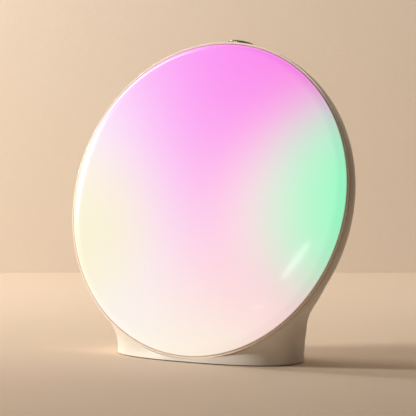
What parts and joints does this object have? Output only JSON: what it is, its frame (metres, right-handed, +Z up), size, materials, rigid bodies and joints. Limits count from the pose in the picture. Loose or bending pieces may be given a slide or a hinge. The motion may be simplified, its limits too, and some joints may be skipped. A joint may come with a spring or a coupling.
{
  "type": "wake-up light alarm clock",
  "caption": "Round leaning wake-up light with a lit diffuser face on an oval flared foot, a knurled dial on top and a loudspeaker behind.",
  "frame": {"origin": "centre of the oval foot on the surface the lamp stands on", "axes": "+Z up, the lit face looks towards -Y and leans back 15 degrees, +X to the right of someone facing it"},
  "size_m": [0.2032, 0.0788, 0.1996],
  "materials": {
    "shell_white": "smooth satin-gloss off-white",
    "bezel_cream": "smooth warm cream",
    "diffuser_acrylic": "opal, glossy, lit from behind",
    "tray_white": "bright matt white",
    "board_green": "solder mask",
    "led_white": "moulded package",
    "display_black": "dark filter face",
    "segment_amber": "translucent segments",
    "screw_steel": "plated steel",
    "chip_black": "moulded packages",
    "can_metal": "tinned can",
    "switch_black": "moulded",
    "button_white": "smooth off-white",
    "grille_cream": "powder coated",
    "foam_black": "closed-cell foam",
    "basket_steel": "black coated steel",
    "magnet_steel": "nickel plated",
    "cone_paper": "pressed paper",
    "surround_rubber": "soft rubber",
    "dial_metal": "knurled, champagne anodised",
    "foot_rubber": "matt non-slip rubber",
    "weight_iron": "zinc coated block",
    "plate_grey": "moulded",
    "lead_black": "soft sheath over copper strands"
  },
  "bodies": {
    "stand": {"base_plate": "plate_grey", "base_screws": "screw_steel", "base_weight": "weight_iron", "board_parts": "chip_black", "board_screws": "screw_steel", "cell_holder": "switch_black", "clock_display": "display_black", "coin_cell": "can_metal", "dial_board": "board_green", "dial_lead": "lead_black", "dial_screws": "screw_steel", "diffuser_lens": "diffuser_acrylic", "display_segments": "segment_amber", "encoder_body": "can_metal", "foot_pad": "foot_rubber", "front_bezel": "bezel_cream", "led_board": "tray_white", "led_packages": "led_white", "main_board": "board_green", "power_board": "board_green", "power_lead": "lead_black", "power_parts": "chip_black", "power_screws": "screw_steel", "rear_housing": "shell_white", "reflector_tray": "tray_white", "speaker_basket": "basket_steel", "speaker_gasket": "foam_black", "speaker_grille": "grille_cream", "speaker_lead": "lead_black", "speaker_magnet": "magnet_steel", "speaker_screws": "screw_steel", "speaker_surround": "surround_rubber", "tact_switches": "switch_black", "tray_screws": "screw_steel", "usb_c_socket": "can_metal", "weight_screws": "screw_steel", "wireless_module": "can_metal"},
    "dial_plunger": {"dial_plunger": "switch_black"},
    "dial": {"dial_cap": "dial_metal", "encoder_shaft": "screw_steel"},
    "left_button": {"left_button": "button_white", "left_button_plunger": "switch_black"},
    "right_button": {"right_button": "button_white", "right_button_plunger": "switch_black"},
    "speaker_cone": {"speaker_cone": "cone_paper"}
  },
  "joints": [
    {"name": "dial_press", "type": "slide", "parent": "stand", "child": "dial_plunger", "axis": [0, -0.2588, -0.9659], "range_m": [0, 0.0006], "stiffness_N_per_m": 4000},
    {"name": "dial_turn", "type": "hinge", "parent": "dial_plunger", "child": "dial", "pos_m": [0, 0.03522, 0.19357], "axis": [0, 0.2588, 0.9659], "continuous": true},
    {"name": "left_button_press", "type": "slide", "parent": "stand", "child": "left_button", "axis": [0, -0.9659, 0.2588], "range_m": [0, 0.0005], "stiffness_N_per_m": 4000},
    {"name": "right_button_press", "type": "slide", "parent": "stand", "child": "right_button", "axis": [0, -0.9659, 0.2588], "range_m": [0, 0.0005], "stiffness_N_per_m": 4000},
    {"name": "speaker_cone_travel", "type": "slide", "parent": "stand", "child": "speaker_cone", "axis": [0, 0.9804, -0.197], "range_m": [-0.0005, 0.0005], "stiffness_N_per_m": 1500, "deforming": ["speaker_surround"]}
  ]
}
